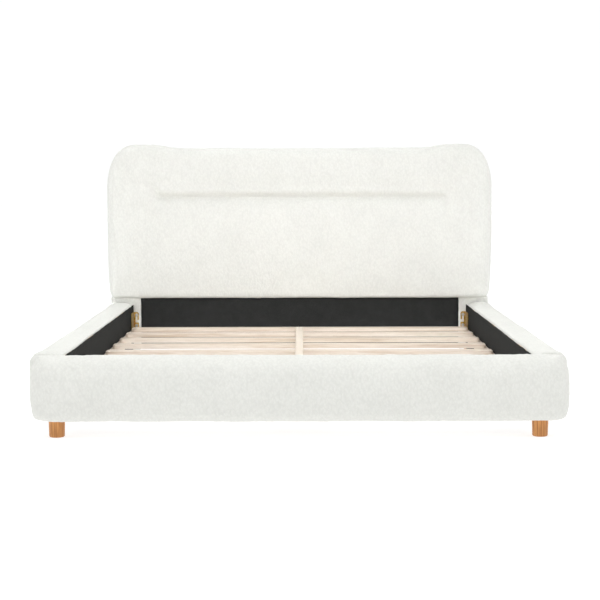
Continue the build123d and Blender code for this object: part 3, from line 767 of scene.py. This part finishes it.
# ================================================================ sheets of cloth
def cloth_grid(name, corner, across, up, normal, step, thickness, finish, ripple, seed, edge_wave=0.0):
    """A sheet with a little unevenness: corner, its two edge vectors, and its outward normal."""
    corner, across, up, normal = (Vector(v) for v in (corner, across, up, normal))
    nu, nv = max(2, round(across.length / step)), max(2, round(up.length / step))
    uv = np.array([(i / nu, j / nv) for j in range(nv + 1) for i in range(nu + 1)])
    flat = np.array(corner) + uv[:, :1] * np.array(across) + uv[:, 1:] * np.array(up)
    wave = edge_wave * (lumps(flat * (1, 1, 0), 0.045, seed + 5) + lumps(flat * (1, 1, 0), 0.15, seed + 6))
    flat[:, 2] += wave * smoothstep(0.75, 1, uv[:, 1])
    edge = np.minimum.reduce([uv[:, 0], 1 - uv[:, 0], uv[:, 1], 1 - uv[:, 1]])
    rise = ripple * (0.5 + 0.5 * lumps(flat, 0.09, seed)) * smoothstep(0, 0.08, edge)
    rise += ripple * 0.5 * (0.5 + 0.5 * lumps(flat, 0.03, seed + 1))
    front = flat + np.array(normal) * (thickness + rise)[:, None]
    back = flat + np.array(normal) * rise[:, None] * 0.6
    cells = [(j * (nu + 1) + i, j * (nu + 1) + i + 1, (j + 1) * (nu + 1) + i + 1, (j + 1) * (nu + 1) + i)
             for j in range(nv) for i in range(nu)]
    count = len(flat)
    rim = [j * (nu + 1) for j in range(nv, 0, -1)] + list(range(nu)) \
        + [j * (nu + 1) + nu for j in range(nv)] + [nv * (nu + 1) + i for i in range(nu, 0, -1)]
    faces = list(cells) + [tuple(count + i for i in reversed(c)) for c in cells]
    faces += [(rim[i], count + rim[i], count + rim[(i + 1) % len(rim)], rim[(i + 1) % len(rim)])
              for i in range(len(rim))]
    return dress(face_outward(new_object(name, np.concatenate([front, back]), faces)), finish)


def declare_sheet(obj, node_name):
    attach(obj, "bed")
    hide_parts(node_name)


for side, sign in (("left", -1), ("right", 1)):
    low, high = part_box(f"side_rail_lining_{side}")
    x = high.x if sign > 0 else low.x
    size = high - low
    size.z += 0.003
    obj = cloth_grid(f"side_lining_{side}", (x, low.y, low.z), (0, size.y, 0), (0, 0, size.z), (-sign, 0, 0),
                     0.014, 0.0008, NONWOVEN, 0.0006, 31 + sign, 0.0016)
    declare_sheet(obj, f"side_rail_lining_{side}")
low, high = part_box("footboard_lining")
size = high - low
size.z += 0.001
obj = cloth_grid("foot_lining", low, (size.x, 0, 0), (0, 0, size.z), (0, 1, 0), 0.016, 0.0008,
                 NONWOVEN, 0.0006, 41, 0.0008)
declare_sheet(obj, "footboard_lining")
low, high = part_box("headboard_lower_lining")
size = high - low
obj = cloth_grid("head_lining", (low.x, high.y, low.z), (size.x, 0, 0), (0, 0, size.z), (0, -1, 0), 0.016,
                 0.0008, NONWOVEN, 0.0006, 43)
declare_sheet(obj, "headboard_lower_lining")
low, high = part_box("headboard_back_cover")
size = high - low
obj = cloth_grid("back_dust_cloth", low, (size.x, 0, 0), (0, 0, size.z), (0, 1, 0), 0.014, 0.0008,
                 NONWOVEN, 0.002, 47)
declare_sheet(obj, "headboard_back_cover")
low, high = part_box("slat_strap")
size = high - low
obj = cloth_grid("slat_ribbon", low, (size.x, 0, 0), (0, size.y, 0), (0, 0, 1), 0.008, 0.0009,
                 WEBBING, 0.0002, 53)
declare_sheet(obj, "slat_strap")

# ================================================================ stage, light and camera
CAMERA_PLACE = Vector((0.0172, -6.0141, 0.8481))
CAMERA_PITCH, CAMERA_YAW, CAMERA_ROLL = 0.0795, 0.0022, -0.0024
CAMERA_LENS = 91.03


def stage():
    half = 40.0
    floor = new_object("floor", [(-half, -half, 0), (half, -half, 0), (half, half, 0), (-half, half, 0)],
                       [(0, 1, 2, 3)], smooth=False)
    made, tree, shader = material("floor_white", 0.9, Specular_IOR_Level=0.0)
    shader.inputs["Base Color"].default_value = (0.42, 0.42, 0.42, 1)
    shader.inputs["Emission Color"].default_value = (1, 1, 1, 1)
    shader.inputs["Emission Strength"].default_value = 0.74
    dress(floor, made)
    world = bpy.data.worlds.new("studio")
    scene.world = world
    world.use_nodes = True
    tree = world.node_tree
    way = tree.nodes.new("ShaderNodeSeparateXYZ")
    tree.links.new(tree.nodes.new("ShaderNodeTexCoord").outputs["Generated"], way.inputs["Vector"])
    front = add_node(tree, "ShaderNodeMapRange", Value=way.outputs["Y"], From_Min=-0.6, From_Max=0.1,
                     To_Min=0.92, To_Max=0.0)
    above = add_node(tree, "ShaderNodeMapRange", Value=way.outputs["Z"], From_Min=0.18, From_Max=0.40)
    dim = math_node(tree, "MULTIPLY", front.outputs["Result"], above.outputs["Result"])
    tree.links.new(math_node(tree, "SUBTRACT", 1.02, dim), tree.nodes["Background"].inputs["Strength"])
    tree.nodes["Background"].inputs["Color"].default_value = (1, 1, 1, 1)
    scene.view_settings.view_transform = "Standard"
    scene.view_settings.look = "None"


def area_light(name, place, target, width, height, power, spread=180):
    data = bpy.data.lights.new(name, "AREA")
    data.shape, data.size, data.size_y, data.energy = "RECTANGLE", width, height, power
    data.spread = math.radians(spread)
    light = bpy.data.objects.new(name, data)
    scene.collection.objects.link(light)
    light.location = place
    light.rotation_euler = (Vector(target) - Vector(place)).to_track_quat("-Z", "Y").to_euler()


def camera():
    data = bpy.data.cameras.new("camera")
    data.sensor_width, data.lens = 36.0, CAMERA_LENS
    data.clip_end = 200.0
    cam = bpy.data.objects.new("camera", data)
    scene.collection.objects.link(cam)
    forward = Vector((-math.sin(CAMERA_YAW) * math.cos(CAMERA_PITCH),
                      math.cos(CAMERA_YAW) * math.cos(CAMERA_PITCH), -math.sin(CAMERA_PITCH)))
    right = Vector((math.cos(CAMERA_YAW), math.sin(CAMERA_YAW), 0))
    up = right.cross(forward)
    tilt = Matrix.Rotation(-CAMERA_ROLL, 3, forward)
    axes = Matrix((tilt @ right, tilt @ up, -forward)).transposed()
    cam.matrix_world = Matrix.Translation(CAMERA_PLACE) @ axes.to_4x4()
    scene.camera = cam


stage()
area_light("overhead", (0, 0, 5.0), (0, 0, 0), 6.0, 6.0, 75)
area_light("key", (0, -3.0, 4.0), (0, -0.6, 0.2), 5.0, 2.4, 55)
area_light("head_fill", (0, -4.2, 2.0), (0, 1.0, 0.34), 2.6, 0.6, 4.3, 30)
camera()
